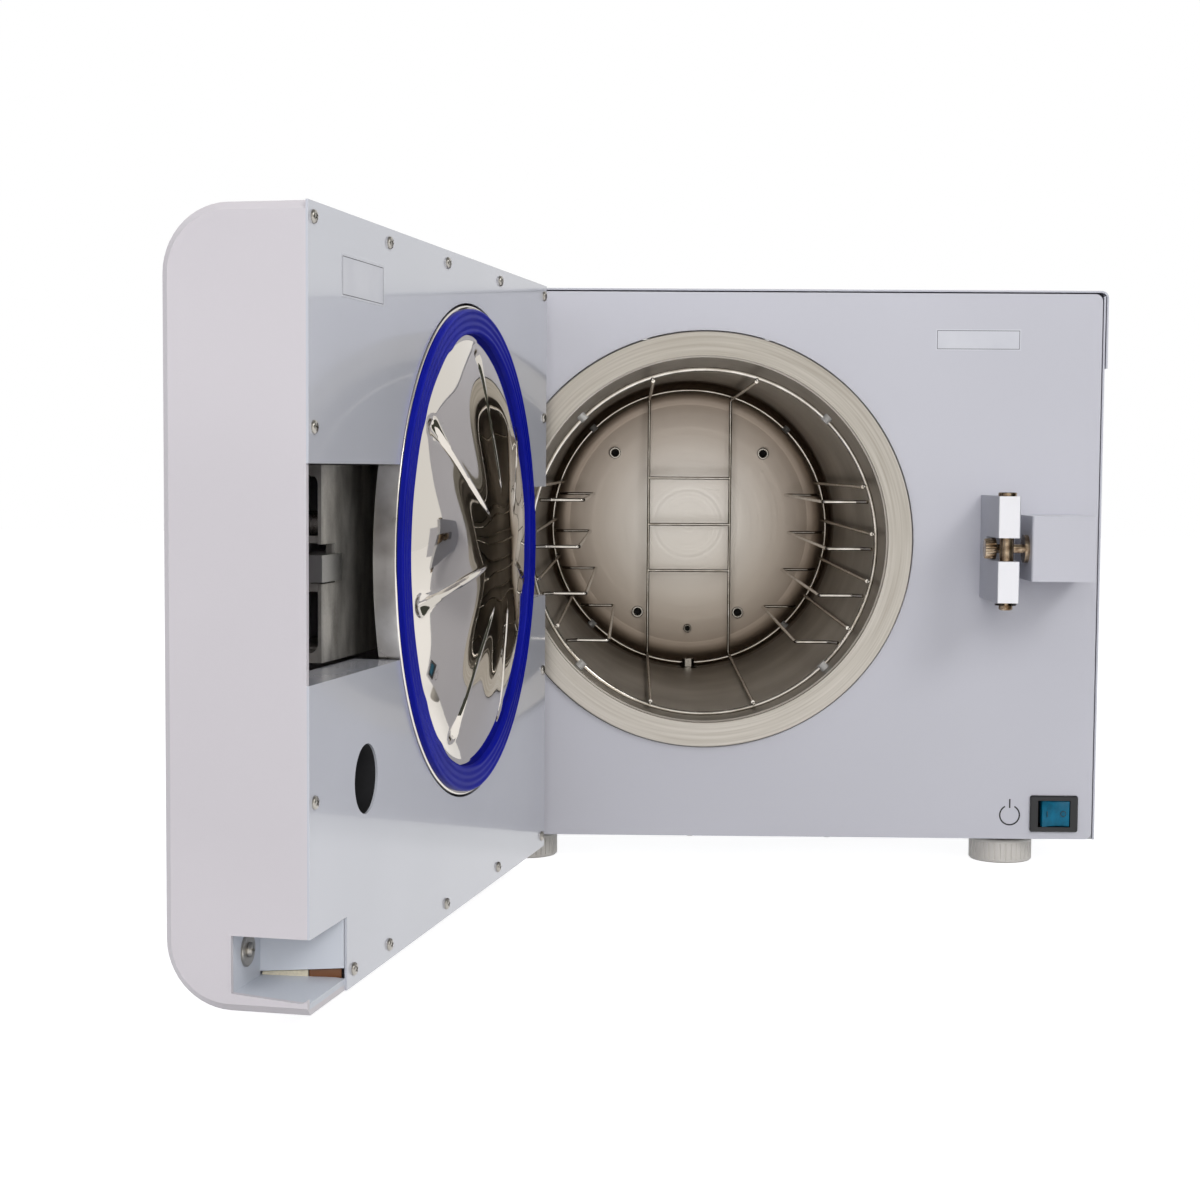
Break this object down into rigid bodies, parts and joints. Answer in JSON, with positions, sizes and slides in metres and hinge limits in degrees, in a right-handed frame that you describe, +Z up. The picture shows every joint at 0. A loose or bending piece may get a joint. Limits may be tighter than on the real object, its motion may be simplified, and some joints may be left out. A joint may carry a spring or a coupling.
{
  "type": "bench autoclave",
  "caption": "Bench steam autoclave with a round chamber, wire rack, side-hinged door standing open, pressure disc with a blue gasket, sliding tongue latch and locking catch.",
  "frame": {"origin": "on the bench, under the middle of the whole part's box with the door open", "axes": "+X to the right as seen from the front, +Y into the cabinet, +Z up"},
  "size_m": [0.5371, 1.0213, 0.3978],
  "materials": {
    "casing_paint": "pale powder coat",
    "panel_paint": "pale lilac-grey satin powder coat",
    "screw_steel": "bright pan heads",
    "rubber_black": "matt",
    "foot_plastic": "white moulded",
    "vessel_steel": "satin, drawn",
    "flange_steel": "turned",
    "zinc_sheet": "zinc plated",
    "bright_steel": "bright",
    "rack_wire": "electropolished wire",
    "spacer_plastic": "white",
    "clevis_steel": "milled",
    "dark_spring": "spring steel",
    "nickel_brass": "nickel plated, worn",
    "black_plastic": "black moulded",
    "switch_blue": "translucent teal blue",
    "tank_plastic": "natural white",
    "casing_plastic": "pale grey",
    "cast_alloy": "as cast",
    "fin_alloy": "thin fins",
    "brass": "machined",
    "filter_plastic": "white",
    "board_laminate": "green laminate",
    "copper_pipe": "drawn copper",
    "door_plastic": "pale lilac-grey, fine grain",
    "gloss_plastic": "pale blue-white gloss",
    "disc_steel": "mirror polished",
    "gasket_silicone": "cobalt blue silicone",
    "handle_plastic": "dark blue-grey",
    "display_glass": "smoked window",
    "key_plastic": "grey",
    "key_green": "green",
    "key_red": "red"
  },
  "bodies": {
    "cabinet": {"base_pan": "casing_paint", "front_panel": "panel_paint", "left_side_panel": "casing_paint", "right_side_panel": "casing_paint", "top_cover": "casing_paint", "rear_panel": "casing_paint", "casing_screws": "screw_steel", "rear_feet": "rubber_black", "chamber_vessel": "vessel_steel", "chamber_flange": "flange_steel", "chamber_saddles": "zinc_sheet", "heater_bands": "zinc_sheet", "back_wall_bushes": "bright_steel", "drain_fitting": "bright_steel", "rack_rings": "rack_wire", "rack_rods": "rack_wire", "rack_tray_loops": "rack_wire", "rack_ladder": "rack_wire", "rack_spacers": "spacer_plastic", "catch_clevis": "clevis_steel", "catch_pin": "bright_steel", "catch_clip": "dark_spring", "lock_box": "panel_paint", "lock_solenoid": "bright_steel", "switch_bezel": "black_plastic", "hinge_bracket": "zinc_sheet", "hinge_pin": "bright_steel", "water_tank": "tank_plastic", "steam_generator": "vessel_steel", "vacuum_pump": "cast_alloy", "fan_frame": "black_plastic", "condenser": "fin_alloy", "valve_block": "brass", "safety_valve": "brass", "air_filter": "filter_plastic", "power_board": "board_laminate", "power_inlet": "black_plastic", "pipework": "copper_pipe"},
    "foot_left": {"front_foot_left": "foot_plastic"},
    "foot_right": {"front_foot_right": "foot_plastic"},
    "lock_bolt": {"lock_bolt": "nickel_brass"},
    "rocker": {"switch_rocker": "switch_blue"},
    "fan": {"fan_rotor": "black_plastic"},
    "lid": {"tank_lid": "casing_plastic"},
    "door": {"door_shell": "door_plastic", "door_inner_cover": "gloss_plastic", "door_cover_screws": "screw_steel", "door_notch_liner": "gloss_plastic", "door_port_cup": "black_plastic", "door_crossbar": "cast_alloy", "door_disc": "disc_steel", "door_gasket": "gasket_silicone", "control_board": "board_laminate", "display_window": "display_glass"},
    "tongue": {"latch_tongue": "clevis_steel"},
    "handle": {"latch_pinion": "clevis_steel", "door_handle": "handle_plastic"},
    "program_key": {"key_program": "key_plastic"},
    "start_key": {"key_start": "key_green"},
    "stop_key": {"key_stop": "key_red"}
  },
  "joints": [
    {"name": "door_swing", "type": "hinge", "parent": "cabinet", "child": "door", "pos_m": [-0.1588, -0.0895, 0.2213], "axis": [0, 0, 1], "range_deg": [-10, 101.4]},
    {"name": "handle_turn", "type": "hinge", "parent": "door", "child": "handle", "pos_m": [-0.21134, -0.35159, 0.24003], "axis": [-0.9803, 0.1977, 0], "range_deg": [0, 90]},
    {"name": "tongue_slide", "type": "slide", "parent": "door", "child": "tongue", "axis": [-0.1977, -0.9803, 0], "range_m": [-0.0001, 0.0202]},
    {"name": "lock_bolt_slide", "type": "slide", "parent": "cabinet", "child": "lock_bolt", "axis": [1, 0, 0], "range_m": [0, 0.0179], "stiffness_N_per_m": 80},
    {"name": "switch_rock", "type": "hinge", "parent": "cabinet", "child": "rocker", "pos_m": [0.237, -0.0335, 0.0357], "axis": [0, 0, -1], "range_deg": [0, 16]},
    {"name": "tank_lid_hinge", "type": "hinge", "parent": "cabinet", "child": "lid", "pos_m": [0.192, 0.4075, 0.3948], "axis": [-1, 0, 0], "range_deg": [0, 95]},
    {"name": "fan_spin", "type": "hinge", "parent": "cabinet", "child": "fan", "pos_m": [0.026, 0.4685, 0.13], "axis": [0, 1, 0], "continuous": true},
    {"name": "left_foot_turn", "type": "hinge", "parent": "cabinet", "child": "foot_left", "pos_m": [-0.1255, -0.0115, 0.009], "axis": [0, 0, 1], "continuous": true},
    {"name": "right_foot_turn", "type": "hinge", "parent": "cabinet", "child": "foot_right", "pos_m": [0.2055, -0.0115, 0.009], "axis": [0, 0, 1], "continuous": true},
    {"name": "program_key_press", "type": "slide", "parent": "door", "child": "program_key", "axis": [0.9803, -0.1977, 0], "range_m": [0, 0.0012], "stiffness_N_per_m": 300},
    {"name": "start_key_press", "type": "slide", "parent": "door", "child": "start_key", "axis": [0.9803, -0.1977, 0], "range_m": [0, 0.0012], "stiffness_N_per_m": 300},
    {"name": "stop_key_press", "type": "slide", "parent": "door", "child": "stop_key", "axis": [0.9803, -0.1977, 0], "range_m": [0, 0.0012], "stiffness_N_per_m": 300}
  ],
  "couplings": [
    {"joint": "tongue_slide", "follows": "handle_turn", "m_per_rad": 0.01275}
  ]
}
